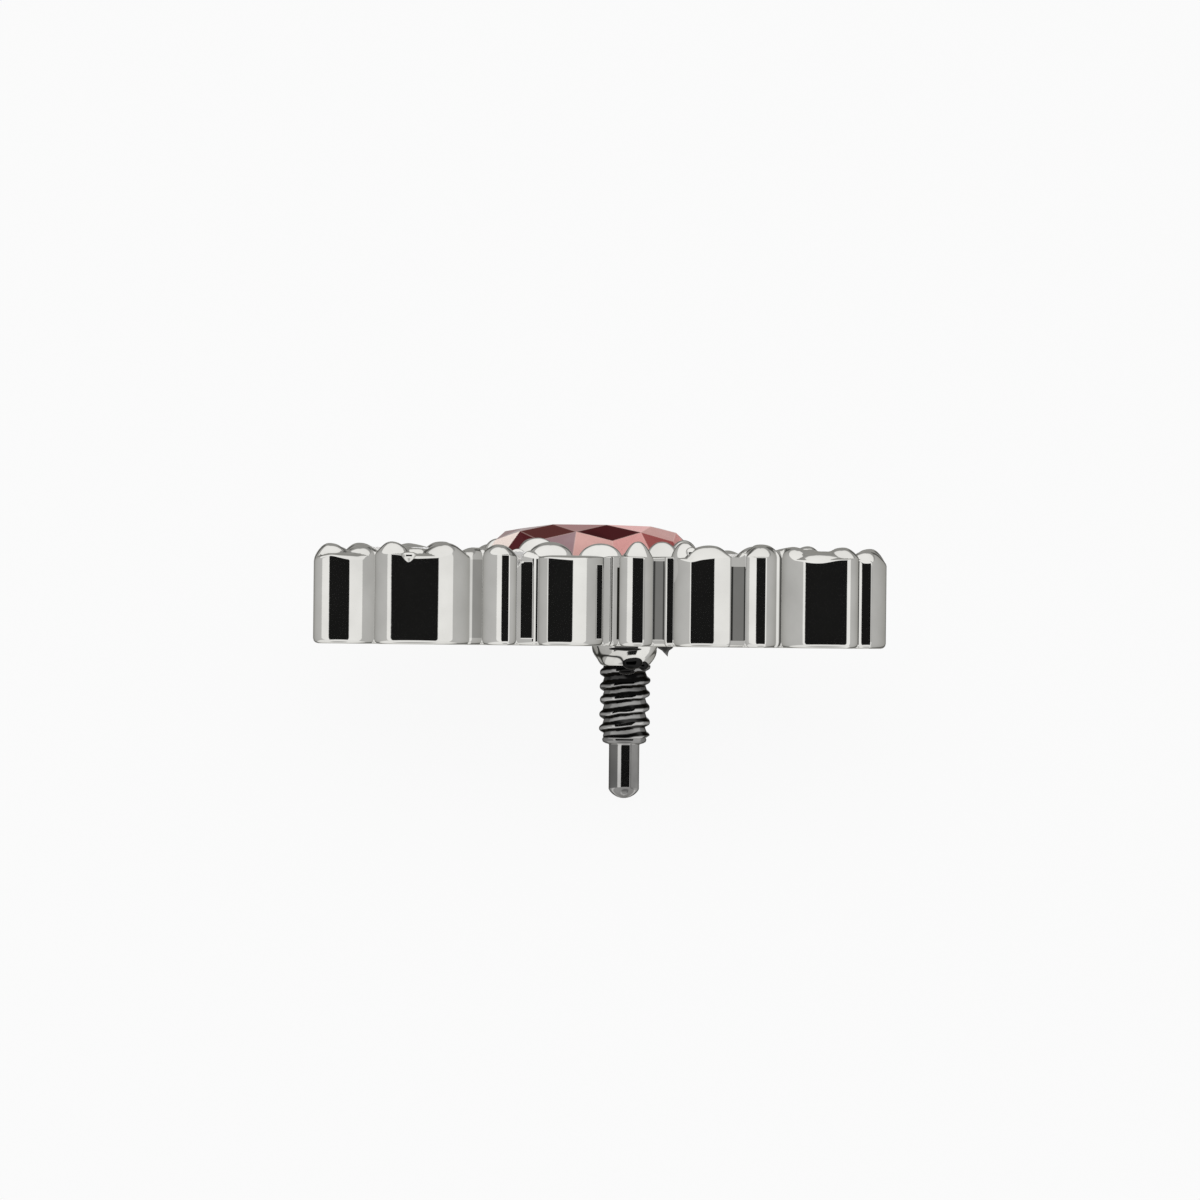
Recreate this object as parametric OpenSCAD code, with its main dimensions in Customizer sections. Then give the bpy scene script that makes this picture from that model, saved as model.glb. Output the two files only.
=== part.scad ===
/* [Setting] */
// Height of the wall from the underside to its shoulder
wall_h = 1.56; // [1.45:0.01:1.65]
// Height of the top plate between the stones
deck_h = 1.48; // [1.42:0.01:1.54]
// Stretch of the outline along its length, 1 is the real one
length_fit = 1.0; // [0.98:0.01:1.05]
// Bevel round the edge of the underside
edge_bevel = 0.07; // [0.04:0.01:0.1]
// Depth of the recessed panels between the columns
panel_depth = 0.12; // [0.06:0.01:0.15]

/* [Stones] */
// Diameter of the red centre stone
centre_d = 3.9; // [3.8:0.02:3.94]
// Diameter of the clear stone at each end
end_d = 2.1; // [1.9:0.02:2.14]
// Diameter of the small clear accent stones
accent_d = 0.86; // [0.7:0.02:0.88]
// Gap left between a stone and its metal seat
seat_gap = 0.02; // [0.01:0.005:0.03]

/* [Threaded post] */
// Crest diameter of the thread
thread_d = 0.9; // [0.86:0.01:0.94]
// Root diameter of the thread
root_d = 0.72; // [0.68:0.01:0.76]
// Distance from one crest to the next
thread_pitch = 0.25; // [0.225:0.005:0.26]
// Length of the threaded stretch
thread_len = 1.4; // [1.2:0.05:1.5]
// Diameter of the plain guide tip
tip_d = 0.53; // [0.5:0.01:0.56]
// Whole length of the post below the plate
post_len = 2.73; // [2.6:0.01:2.8]
// Height of the solder joint under the plate
solder_h = 0.3; // [0.25:0.01:0.36]

/* [Hidden] */
$fn = 64;

// Lobes of the front half of the wall, seen from above with the front towards -Y. The back half is the
// front half turned half a turn. Columns: x, y, radius, height of the domed top.
LOBES = [
    // End column on the left
    [-4.84, -0.31, 0.44, 1.80],
    // Left petal: outer bead, broad body, inner bead
    [-4.25, -1.94, 0.32, 1.84],
    [-3.68, -1.69, 0.79, 1.64],
    [-3.20, -1.44, 0.50, 1.80],
    // Left side column and its front rib
    [-2.35, -2.57, 0.36, 1.77],
    [-2.36, -2.84, 0.17, 1.62],
    // Left front cup
    [-1.31, -2.70, 0.50, 1.68],
    // Slim rib, middle column with its front rib, slim rib
    [-0.65, -2.88, 0.12, 1.62],
    [0.04, -2.80, 0.29, 1.88],
    [0.05, -2.92, 0.21, 1.66],
    [0.66, -2.88, 0.13, 1.62],
    // Right front cup
    [1.28, -2.70, 0.50, 1.68],
    // Right side column and its front rib
    [2.43, -2.55, 0.34, 1.86],
    [2.35, -2.84, 0.17, 1.62],
    // Right petal: inner bead, broad body, outer bead
    [3.12, -1.44, 0.47, 1.84],
    [3.77, -1.69, 0.79, 1.64],
    [3.85, -1.94, 0.50, 1.84],
    // End column on the right
    [4.81, -0.31, 0.44, 1.80]
];

// Beads that stand on the deck just behind the front wall. Columns: x, y, radius, height of the top.
BEADS = [
    [-1.51, -2.52, 0.34, 1.86],
    [-0.53, -2.66, 0.32, 1.83],
    [0.54, -2.61, 0.28, 1.86],
    [1.45, -2.52, 0.34, 1.83]
];

// Outline of the body between the lobes, front half, from left to right
BODY = [[-5.0, -0.2], [-4.7, -0.9], [-4.2, -1.5], [-2.9, -1.9], [-2.3, -2.88], [2.3, -2.88], [2.9, -1.9],
        [4.2, -1.5], [4.7, -0.9], [5.0, -0.2]];

// Recessed panels of the front wall. Columns: left x, right x, both between two lobes.
PANELS = [[-2.16, -1.68], [-0.84, -0.52], [-0.50, -0.16], [0.24, 0.56], [0.78, 0.90], [1.68, 2.12]];
panel_low = 0.12;
panel_high = 1.42;
panel_wall_y = -2.88;
// Height at which the body's wall starts, above its narrower foot
body_clear = 0.07;

// Stones: place of each axis, and the heights of table, crown rings, girdle and culet
centre_at = [-0.13, 0];
end_at = [3.64, 0];
accent_at = [2.05, -2.02];
centre_heights = [2.16, 2.04, 1.89, 1.60, 1.54, 0.26];
end_heights = [1.74, 1.68, 1.60, 1.46, 1.43, 0.58];
accent_heights = [1.68, 1.65, 1.61, 1.54, 1.52, 1.12];
// Radius of the table and the crown rings, as shares of the girdle's radius
table_share = 0.65;
star_share = 0.80;
kite_share = 0.90;

// Four prongs round the red stone: distance from its axis, radius and height of the domed top
prong_ring = 2.02;
prong_r = 0.24;
prong_top = 1.93;

// Post: place of its axis under the plate, radius at the solder's top and foot, and its rounded end
post_at = [0.36, -0.50];
solder_top_r = 0.61;
solder_mid_r = 0.53;
solder_foot_r = 0.49;
tip_r = tip_d / 2;
tip_dome_h = 0.16;
tip_ball_r = (tip_r * tip_r + tip_dome_h * tip_dome_h) / (2 * tip_dome_h);
thread_sides = 24;
rows_per_turn = 8;
thread_overlap = 0.04;
collar_len = 0.1;
collar_r = 0.38;
// Small burr of solder in front of the joint
burr_at = [0.97, -1.05];
burr_h = 0.17;
burr_r = 0.09;

// The top lies on the end of its post and on the two cups at the back, so the front stands up. The
// floor is tangent to the rounded end of the post and touches the underside's edge at those cups.
cup = LOBES[6];
foot_y = -cup[1] + cup[2] - edge_bevel;
ball_z = -post_len + tip_ball_r;
run = foot_y - post_at[1];
reach = sqrt(run * run + ball_z * ball_z);
tilt = atan2(-ball_z, run) + asin(tip_ball_r / reach);
lift = foot_y * sin(tilt);
// Shift that puts the middle of the resting top's depth on the origin
depth_shift = -0.495;

module rest_pose() {
    translate([0, depth_shift, lift])
        rotate([-tilt, 0, 0])
            children();
}

// The front half and the same again, turned half a turn about the middle
module both_halves() {
    children();
    rotate([0, 0, 180])
        children();
}

// The body between the lobes, with a bevelled underside
module body() {
    outline = [for (side = [1, -1]) for (p = BODY) side * [p[0] * length_fit, p[1]]];
    translate([0, 0, body_clear])
        linear_extrude(height = deck_h - body_clear)
            polygon(outline);
    linear_extrude(height = body_clear + 0.1)
        polygon([for (p = outline) [p[0] - sign(p[0]) * edge_bevel, p[1] - sign(p[1]) * edge_bevel]]);
}

// A column with a bevelled foot, straight to the shoulder and then an oval dome in three steps
module column(r, top) {
    rise = top - wall_h;
    rotate_extrude()
        polygon([
            [0, 0],
            [r - edge_bevel, 0],
            [r, edge_bevel],
            [r, wall_h],
            [r * cos(30), wall_h + rise * sin(30)],
            [r * cos(60), wall_h + rise * sin(60)],
            [0, top]
        ]);
}

// A bead or prong that stands on the body, with the same dome
module bead(r, top) {
    rise = top - wall_h;
    rotate_extrude()
        polygon([
            [0, wall_h / 2],
            [r, wall_h / 2],
            [r, wall_h],
            [r * cos(30), wall_h + rise * sin(30)],
            [r * cos(60), wall_h + rise * sin(60)],
            [0, top]
        ]);
}

module lobes() {
    for (lobe = LOBES)
        translate([lobe[0] * length_fit, lobe[1], 0])
            column(lobe[2], lobe[3]);
    for (place = BEADS)
        translate([place[0], place[1], 0])
            bead(place[2], place[3]);
}

module prongs() {
    for (turn = [45:90:315])
        translate([centre_at[0], centre_at[1], 0])
            rotate([0, 0, turn])
                translate([prong_ring, 0, 0])
                    bead(prong_r, prong_top);
}

module panels() {
    for (panel = PANELS)
        translate([panel[0], panel_wall_y - 1, panel_low])
            cube([panel[1] - panel[0], 1 + panel_depth, panel_high - panel_low]);
}

// Space round one stone: a turned profile a little larger than the stone
module seat(d, heights) {
    r = d / 2 + seat_gap;
    rotate_extrude()
        polygon([
            [0, heights[5] - 0.05],
            [r, heights[4] - seat_gap],
            [r, heights[3] + seat_gap],
            [r * kite_share + seat_gap, heights[2] + seat_gap],
            [r * table_share + seat_gap, heights[0] + seat_gap],
            [0, heights[0] + seat_gap]
        ]);
}

module seats() {
    translate([centre_at[0], centre_at[1], 0])
        seat(centre_d, centre_heights);
    for (side = [-1, 1])
        translate([side * end_at[0] * length_fit, end_at[1], 0])
            seat(end_d, end_heights);
    for (place = accent_places())
        translate([place[0], place[1], 0])
            seat(accent_d, accent_heights);
}

function accent_places() = [for (sx = [-1, 1]) for (sy = [-1, 1]) [sx * accent_at[0], sy * accent_at[1]]];

// Radius of the thread at one turn and height, a rounded ridge that climbs one pitch in a turn
function thread_r(turn, z) =
    let (phase = 360 * (z / thread_pitch - turn / 360))
    root_d / 2 + (thread_d - root_d) / 2 * (1 + cos(phase)) / 2;

// The threaded rod is one closed form: a ring of points for each height and a flat cap at both ends
module thread() {
    rows = round(thread_len / thread_pitch * rows_per_turn);
    low = -solder_h - thread_len - thread_overlap;
    step = (thread_len + 2 * thread_overlap) / rows;
    points = [
        for (row = [0:rows])
            for (side = [0:thread_sides - 1])
                let (turn = 360 * side / thread_sides, z = low + row * step, r = thread_r(turn, z))
                [r * cos(turn), r * sin(turn), z]
    ];
    walls = [
        for (row = [0:rows - 1])
            for (side = [0:thread_sides - 1])
                let (next = (side + 1) % thread_sides, a = row * thread_sides, b = a + thread_sides)
                for (half = [0, 1])
                    half == 0 ? [a + side, b + side, b + next] : [a + side, b + next, a + next]
    ];
    foot = [for (side = [0:thread_sides - 1]) side];
    head = [for (side = [0:thread_sides - 1]) rows * thread_sides + thread_sides - 1 - side];
    polyhedron(points = points, faces = concat(walls, [foot, head]));
}

// The solder joint, the core inside the thread, the rounded collar and the guide tip are one turned form
module post() {
    thread_foot = -solder_h - thread_len;
    tip_foot = -post_len + tip_dome_h;
    core_r = root_d / 2 - 0.08;
    rotate_extrude()
        polygon([
            [0, 0.1],
            [solder_top_r, 0.1],
            [solder_top_r, 0],
            [solder_mid_r, -solder_h * 0.6],
            [solder_foot_r, -solder_h],
            [core_r, -solder_h],
            [core_r, thread_foot],
            [collar_r - 0.04, thread_foot],
            [collar_r, thread_foot - collar_len / 2],
            [collar_r - 0.06, thread_foot - collar_len],
            [tip_r, thread_foot - collar_len],
            for (step = [0:3])
                let (lean = asin(tip_r / tip_ball_r) * (1 - step / 3))
                [tip_ball_r * sin(lean), tip_ball_r - post_len - tip_ball_r * cos(lean)]
        ]);
    thread();
}

module setting() {
    color("gainsboro")
        rest_pose() {
            difference() {
                union() {
                    body();
                    both_halves()
                        lobes();
                    prongs();
                }
                both_halves()
                    panels();
                seats();
            }
            translate([post_at[0], post_at[1], 0])
                post();
            translate([burr_at[0], burr_at[1], -burr_h])
                cylinder(r1 = 0.02, r2 = burr_r, h = burr_h + 0.05);
        }
}

// Brilliant with an eight-sided table, stars, kites, a sixteen-sided girdle and a pavilion. The rings
// go from the table down, each with its own share of the radius, height and turn.
module brilliant(d, heights) {
    r = d / 2;
    eighth = 45;
    rings = [
        [table_share, heights[0], 0, 8],
        [star_share, heights[1], eighth / 2, 8],
        [kite_share, heights[2], 0, 8],
        [1, heights[3], 0, 16],
        [1, heights[4], 0, 16]
    ];
    points = concat(
        [
            for (ring = rings)
                for (k = [0:ring[3] - 1])
                    let (turn = 360 * k / ring[3] + ring[2] - 90)
                    [r * ring[0] * cos(turn), r * ring[0] * sin(turn), ring[1]]
        ],
        [[0, 0, heights[5]]]
    );
    hull()
        polyhedron(points = points, faces = [[for (k = [0:len(points) - 1]) k]]);
}

module stone(place, d, heights, shade) {
    color(shade)
        rest_pose()
            translate([place[0], place[1], 0])
                brilliant(d, heights);
}

module centre_stone() {
    stone(centre_at, centre_d, centre_heights, "firebrick");
}

module end_stone(side) {
    stone([side * end_at[0] * length_fit, end_at[1]], end_d, end_heights, "aliceblue");
}

module accent_stone(index) {
    stone(accent_places()[index - 1], accent_d, accent_heights, "aliceblue");
}

setting();
centre_stone();
end_stone(-1);  // end_stone_left
end_stone(1);  // end_stone_right
accent_stone(1);  // accent_stone_1
accent_stone(2);  // accent_stone_2
accent_stone(3);  // accent_stone_3
accent_stone(4);  // accent_stone_4
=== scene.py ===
"""Threaded piercing top: a scalloped oval setting with a red stone, clear stones and a threaded post."""
import logging
import math
from dataclasses import dataclass
from enum import Enum

import bpy
import numpy as np
from mathutils import Matrix, Vector
from mathutils.geometry import delaunay_2d_cdt
from mathutils.kdtree import KDTree


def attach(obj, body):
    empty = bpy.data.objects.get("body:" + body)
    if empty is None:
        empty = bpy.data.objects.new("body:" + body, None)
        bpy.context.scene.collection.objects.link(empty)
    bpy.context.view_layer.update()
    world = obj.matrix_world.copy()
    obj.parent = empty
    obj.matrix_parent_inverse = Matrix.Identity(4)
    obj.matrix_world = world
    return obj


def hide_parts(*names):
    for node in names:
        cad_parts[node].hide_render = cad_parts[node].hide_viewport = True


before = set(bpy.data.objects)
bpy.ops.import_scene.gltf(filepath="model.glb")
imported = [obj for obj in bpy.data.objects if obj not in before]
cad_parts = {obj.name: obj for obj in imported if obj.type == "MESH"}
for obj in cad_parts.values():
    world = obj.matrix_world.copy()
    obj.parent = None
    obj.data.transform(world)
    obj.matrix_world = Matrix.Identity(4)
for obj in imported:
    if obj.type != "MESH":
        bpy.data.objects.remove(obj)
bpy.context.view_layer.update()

log = logging.getLogger("piercing_top")
MM = 0.001


def shade(code: str) -> tuple:
    """Turns a colour written as RRGGBB into linear red, green and blue with full alpha."""
    parts = [int(code[k:k + 2], 16) / 255 for k in (0, 2, 4)]
    return (*(p / 12.92 if p < 0.04045 else ((p + 0.055) / 1.055) ** 2.4 for p in parts), 1.0)


def grey(level: float) -> tuple:
    """A grey in linear light with full alpha."""
    return level, level, level, 1.0


@dataclass(frozen=True)
class RestPose:
    """How the top lies: on the end of its post and on the two cups at the back. Sizes in millimetres."""

    cup_foot: float = 3.13
    post_y: float = -0.50
    post_len: float = 2.73
    tip_r: float = 0.265
    tip_dome: float = 0.16
    depth_shift: float = -0.495

    @property
    def ball(self) -> float:
        """Radius of the post's rounded end."""
        return (self.tip_r ** 2 + self.tip_dome ** 2) / (2 * self.tip_dome)

    @property
    def tilt(self) -> float:
        """Angle in radians by which the plate leans back."""
        drop, run = self.post_len - self.ball, self.cup_foot - self.post_y
        return math.atan2(drop, run) + math.asin(self.ball / math.hypot(run, drop))

    @property
    def lift(self) -> float:
        """Height of the plate's origin above the floor."""
        return self.cup_foot * math.sin(self.tilt)

    def turned(self, points: np.ndarray) -> np.ndarray:
        """Turns directions of the plate's frame into the row's frame.

        Args:
            points: Rows of x, y and z.

        Returns:
            The same rows, leaning back with the plate.
        """
        lean_cos, lean_sin = math.cos(self.tilt), math.sin(self.tilt)
        x, y, z = np.asarray(points, float).T
        return np.stack([x, y * lean_cos + z * lean_sin, z * lean_cos - y * lean_sin], 1)

    def placed(self, points: np.ndarray) -> np.ndarray:
        """Moves points of the plate's frame, in millimetres, to the row's frame, in metres."""
        return (self.turned(points) + [0, self.depth_shift, self.lift]) * MM


@dataclass(frozen=True)
class ViewPoint:
    """The photograph's view: level with the plate and a little to the left of its middle."""

    pose: RestPose
    aside: float = math.radians(13.0)
    roll: float = math.radians(0.6)

    @property
    def across(self) -> np.ndarray:
        """Unit vector to the right of the view, in the plate's frame."""
        return np.array([math.cos(self.aside), -math.sin(self.aside), 0.0])

    @property
    def towards(self) -> np.ndarray:
        """Unit vector from the top to the camera, in the plate's frame."""
        return np.array([-math.sin(self.aside), -math.cos(self.aside), 0.0])

    def spot(self, across: float, depth: float) -> np.ndarray:
        """Place in the plate's frame of a spot given across the view and towards the camera."""
        return self.across * across + self.towards * depth

    def axes(self) -> list[Vector]:
        """Right, up and backward of the view in the row's frame, without its roll."""
        return [Vector(row) for row in self.pose.turned([self.across, (0, 0, 1), self.towards])]


class Graph:
    """A node tree built up call by call. A node given as a value stands for its first output."""

    def __init__(self, owner: bpy.types.ID) -> None:
        """Starts from the emptied tree.

        Args:
            owner: The material, world or node group that the tree belongs to.
        """
        if not isinstance(owner, bpy.types.NodeTree):
            owner.use_nodes = True
            owner = owner.node_tree
        self.tree = owner
        owner.nodes.clear()

    def add(self, kind: str, inputs: dict | None = None, **settings: object) -> bpy.types.Node:
        """Adds a node.

        Args:
            kind: The node's type name.
            inputs: Values, sockets or nodes by input name or number.
            settings: Properties of the node itself.

        Returns:
            The new node.
        """
        node = self.tree.nodes.new(kind)
        for name, value in settings.items():
            setattr(node, name, value)
        for name, value in (inputs or {}).items():
            source = value.outputs[0] if isinstance(value, bpy.types.Node) else value
            if isinstance(source, bpy.types.NodeSocket):
                self.tree.links.new(source, node.inputs[name])
            else:
                node.inputs[name].default_value = source
        return node

    def sum(self, operation: str, *values: object) -> bpy.types.Node:
        """Adds a Math node for an operation on numbers, sockets or nodes."""
        return self.add("ShaderNodeMath", dict(enumerate(values)), operation=operation)

    def vectors(self, operation: str, inputs: dict) -> bpy.types.Node:
        """Adds a Vector Math node."""
        return self.add("ShaderNodeVectorMath", inputs, operation=operation)

    def mix(self, factor: object, low: object, high: object) -> bpy.types.NodeSocket:
        """Mixes two colours and returns the result's socket."""
        return self.add("ShaderNodeMix", {0: factor, 6: low, 7: high}, data_type="RGBA").outputs[2]

    def noise(self, scale: float, detail: float, **more: bpy.types.NodeSocket) -> bpy.types.Node:
        """Adds a noise texture, in four dimensions where W is given."""
        inputs = {"Scale": scale, "Detail": detail, **more}
        return self.add("ShaderNodeTexNoise", inputs, noise_dimensions="4D" if "W" in more else "3D")

    def remap(self, *values: object) -> bpy.types.Node:
        """Adds a Map Range node for a value, its lowest and highest, and what these become."""
        return self.add("ShaderNodeMapRange", dict(enumerate(values)))

    def bend(self, factor: bpy.types.Node, points: tuple) -> bpy.types.Node:
        """Adds a curve that runs straight between points.

        Args:
            factor: Where on the curve to read, from 0 to 1.
            points: Pairs of place and value, in order.

        Returns:
            The curve's node.
        """
        node = self.add("ShaderNodeFloatCurve", {"Value": factor})
        curve = node.mapping.curves[0]
        while len(curve.points) < len(points):
            curve.points.new(0.5, 0.5)
        for point, place in zip(curve.points, points):
            point.location = place
            point.handle_type = "VECTOR"
        node.mapping.update()
        return node

    def steps(self, factor: bpy.types.Node, stops: tuple) -> bpy.types.Node:
        """Adds a grey ramp that runs straight between its stops.

        Args:
            factor: Where on the ramp to read.
            stops: Pairs of position and grey, in order.

        Returns:
            The ramp's node.
        """
        node = self.add("ShaderNodeValToRGB", {0: factor})
        ramp = node.color_ramp
        while len(ramp.elements) < len(stops):
            ramp.elements.new(1.0)
        for element, (place, level) in zip(ramp.elements, stops):
            element.position = place
            element.color = grey(level)
        return node

    def group_inputs(self, sizes: dict[str, float]) -> dict[str, bpy.types.NodeSocket]:
        """Gives a Geometry Nodes group a mesh to take, named sizes, and a mesh to give.

        Args:
            sizes: Default of each size by name.

        Returns:
            The sockets of the mesh and the sizes by name.
        """
        for way in ("INPUT", "OUTPUT"):
            self.tree.interface.new_socket("Mesh", in_out=way, socket_type="NodeSocketGeometry")
        for name, value in sizes.items():
            kind = "NodeSocketInt" if isinstance(value, int) else "NodeSocketFloat"
            self.tree.interface.new_socket(name, in_out="INPUT", socket_type=kind).default_value = value
        return {socket.name: socket for socket in self.add("NodeGroupInput").outputs}

    def group_result(self, shape: bpy.types.Node, material: bpy.types.Material) -> bpy.types.NodeTree:
        """Ends a Geometry Nodes group.

        Args:
            shape: The node that gives the finished mesh.
            material: What the mesh is made of.

        Returns:
            The whole tree.
        """
        metal = self.add("GeometryNodeSetMaterial", {0: shape, "Material": material})
        self.add("NodeGroupOutput", {0: metal})
        return self.tree


@dataclass(frozen=True)
class SteelFinish:
    """Polished steel with faint ripples and hairline scratches, mixed towards near-black where it carries
    painted shade and painted dark reflections.
    """

    name: str
    colour: str = "DAD9D5"
    edge: str = "C4C3BE"
    dark: str = "CFCECA"
    # Near-black that the painted shade and painted dark reflections mix towards.
    painted_shade_colour: str = "0B0B0B"
    gloss: float = 0.035
    ripple: float = 0.02
    scratch: float = 0.012
    # Strength and scale of thin painted dark lines, standing in for dark reflections.
    painted_dark_lines: float = 0.0
    cloud_scale: float = 1400.0
    painted_line_scale: float = 1500.0
    hair_scale: float = 5200.0
    wave_scale: float = 620.0
    slot: str = "polished_steel"

    def material(self) -> bpy.types.Material:
        """Builds the material: mirror metal, greyer at grazing angles, slightly uneven, mixed towards
        near-black by its painted shade and painted dark reflections.

        Returns:
            The new material.
        """
        made = bpy.data.materials.new(self.name)
        graph = Graph(made)
        place = graph.add("ShaderNodeTexCoord").outputs["Object"]
        lean = graph.add("ShaderNodeMapping", {
            "Vector": place, "Rotation": (0.4, 0.9, 0.2), "Scale": (1.0, 9.0, 1.0)})
        hair = graph.noise(self.hair_scale, 6.0, Vector=lean)
        cloud = graph.steps(graph.noise(self.cloud_scale, 3.0, Vector=place), ((0.35, 0.0), (0.7, 1.0)))
        # Painted shade and painted dark reflections, kept per corner, mix the colour towards near-black.
        painted_shade = graph.add("ShaderNodeAttribute", attribute_name="painted_shade").outputs["Fac"]
        # Thin dark lines painted on, standing in for dark reflections.
        if self.painted_dark_lines:
            lines = graph.noise(self.painted_line_scale, 0.5, Vector=place)
            painted_line_ramp = ((0.475, 0.0), (0.49, self.painted_dark_lines), (0.505, self.painted_dark_lines), (0.52, 0.0))
            painted_shade = graph.sum("MAXIMUM", painted_shade, graph.steps(lines, painted_line_ramp))
        tint = graph.mix(cloud, shade(self.colour), shade(self.dark))
        rough = graph.remap(hair, 0.3, 0.7, self.gloss * 0.7, self.gloss * 1.5)
        waves = graph.noise(self.wave_scale, 1.0, Vector=place)
        wavy = graph.add("ShaderNodeBump", {"Strength": self.ripple, "Distance": 0.0006, "Height": waves})
        fine = graph.add("ShaderNodeBump", {
            "Strength": self.scratch, "Distance": 0.00004, "Height": hair, "Normal": wavy})
        metal = graph.add("ShaderNodeBsdfPrincipled", {
            "Base Color": graph.mix(painted_shade, tint, shade(self.painted_shade_colour)), "Metallic": 1.0, "Roughness": rough,
            "Normal": fine, "Specular Tint": shade(self.edge)})
        graph.add("ShaderNodeOutputMaterial", {0: metal})
        return made


@dataclass(frozen=True)
class GemFinish:
    """A cut stone whose facets each carry their own colour with painted light and painted reflections."""

    name: str
    slot: str
    clear: float = 0.0
    index: float = 1.07
    # Colour and share of the faint painted reflections of the facets below.
    painted_under_facet_colour: str = "7A2A30"
    painted_under_facets: float = 0.06
    shine: float = 0.5
    cell_scale: float = 1500.0
    dust_scale: float = 4000.0

    def material(self) -> bpy.types.Material:
        """Builds the material: facet colours with painted light, faint painted reflections of the facets
        below, and a hard polish.

        Returns:
            The new material.
        """
        made = bpy.data.materials.new(self.name)
        graph = Graph(made)
        place = graph.add("ShaderNodeTexCoord").outputs["Object"]
        # Each facet's own colour with its painted light and painted reflections.
        facet = graph.add("ShaderNodeAttribute", attribute_name="facet_colour_and_painted_light")
        # Cells of painted reflections of the facets below.
        cells = graph.add("ShaderNodeTexVoronoi", {"Vector": place, "Scale": self.cell_scale}, feature="F1",
                          distance="MANHATTAN")
        faint = graph.sum("MULTIPLY", graph.steps(cells, ((0.30, 0.0), (0.55, 1.0))), self.painted_under_facets)
        dust = graph.noise(self.dust_scale, 4.0, Vector=place)
        body = graph.add("ShaderNodeBsdfPrincipled", {
            "Base Color": graph.mix(faint, facet, shade(self.painted_under_facet_colour)),
            "Roughness": graph.remap(dust, 0.3, 0.8, 0.02, 0.07), "IOR": self.index,
            "Transmission Weight": self.clear, "Specular IOR Level": self.shine})
        graph.add("ShaderNodeOutputMaterial", {0: body})
        return made


class Finish(Enum):
    """The finishes on this top."""

    POLISHED = SteelFinish("polished_steel_wall")
    # The solder carries thin painted dark lines, standing in for dark reflections.
    SOLDER = SteelFinish("bright_solder", dark="B9B7B2", gloss=0.08, ripple=0.25, painted_dark_lines=0.95)
    # The post's steel is a darker copy of the wall's steel: painted shade.
    POST = SteelFinish("post_steel_painted_darker", "CBCAC8", "BEBDBB", "A9A8A6", gloss=0.06, ripple=0.04)
    RED = GemFinish("red_stone_cut", "red_stone")
    CLEAR = GemFinish("clear_stone_cut", "clear_stone", 0.45, 1.9, "C6C6C5", painted_under_facets=0.3, shine=0.4)

    @property
    def material(self) -> bpy.types.Material:
        """The finish's material, made once."""
        return bpy.data.materials.get(self.value.name) or self.value.material()


@dataclass
class Shell:
    """Corners, faces and painted shade (painted shade and painted dark reflections) of one mesh in the
    plate's frame, in millimetres.
    """

    corners: np.ndarray
    faces: list
    painted_shade: np.ndarray | None = None

    def __post_init__(self) -> None:
        """Leaves the shell without painted shade where none is given."""
        if self.painted_shade is None:
            self.painted_shade = np.zeros(len(self.corners))


def linked(name: str, data: bpy.types.ID) -> bpy.types.Object:
    """Makes an object that the metal doesn't mirror, and links it to the scene.

    Args:
        name: Name of the object.
        data: Its mesh, lamp or camera.

    Returns:
        The object.
    """
    made = bpy.data.objects.new(name, data)
    made.visible_glossy = False
    bpy.context.scene.collection.objects.link(made)
    return made


def dress(name: str, shell: Shell, finish: Finish, node: str, pose: RestPose, smooth: bool = True,
          colours_and_painted_light: list | None = None) -> None:
    """Turns a shell into a finished piece that rides on the root.

    Args:
        name: Name of the piece.
        shell: Its corners and faces in the plate's frame.
        finish: What it is made of.
        node: The CAD node that it stands for.
        pose: How the top lies.
        smooth: Whether its faces are shaded smooth.
        colours_and_painted_light: One colour for each face, for stones: the stone's own colour with painted
            light and painted reflections.
    """
    mesh = bpy.data.meshes.new(name)
    mesh.from_pydata(pose.placed(shell.corners).tolist(), [], shell.faces)
    mesh.polygons.foreach_set("use_smooth", [smooth] * len(mesh.polygons))
    # Each face's colour, with its painted light and painted reflections.
    if colours_and_painted_light:
        layer = mesh.attributes.new("facet_colour_and_painted_light", "FLOAT_COLOR", "CORNER")
        values = [part for face, tint in zip(mesh.polygons, colours_and_painted_light) for _ in face.vertices for part in tint]
        layer.data.foreach_set("color", values)
    # Painted shade and painted dark reflections, for the steel's material to mix in.
    if shell.painted_shade.any():
        layer = mesh.attributes.new("painted_shade", "FLOAT", "POINT")
        layer.data.foreach_set("value", shell.painted_shade.astype(np.float32))
    mesh.materials.append(finish.material)
    piece = linked(name, mesh)
    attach(piece, "root")
    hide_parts(node)
    log.info("%s: %d faces", name, len(mesh.polygons))


def band(below: int, above: int, sides: int) -> list[tuple]:
    """Lists the faces between two closed rows, each given by the number of its first corner."""
    return [(below + k, below + (k + 1) % sides, above + (k + 1) % sides, above + k) for k in range(sides)]


def fan(row: int, tip: int, sides: int) -> list[tuple]:
    """Lists the faces between a closed row, given by its first corner, and a corner below its middle."""
    return [(row + k, tip, row + (k + 1) % sides) for k in range(sides)]


def revolved(profile: list, sides: int, centre: tuple) -> Shell:
    """Turns a profile round an upright axis, with closed poles.

    Args:
        profile: Pairs of radius and height from the top down. The first and last radius are zero.
        sides: Number of sides.
        centre: Place of the axis.

    Returns:
        The closed shell.
    """
    (x, y), turns = centre, np.arange(sides) * 2 * math.pi / sides
    corners = [(x, y, profile[0][1])]
    for radius, height in profile[1:-1]:
        corners += [(x + radius * math.cos(t), y + radius * math.sin(t), height) for t in turns]
    corners.append((x, y, profile[-1][1]))
    last = len(corners) - 1
    faces = [(0, 1 + k, 1 + (k + 1) % sides) for k in range(sides)]
    for below in range(1 + sides, last, sides):
        faces += band(below, below - sides, sides)
    return Shell(np.array(corners), faces + fan(last - sides, last, sides))


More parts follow.
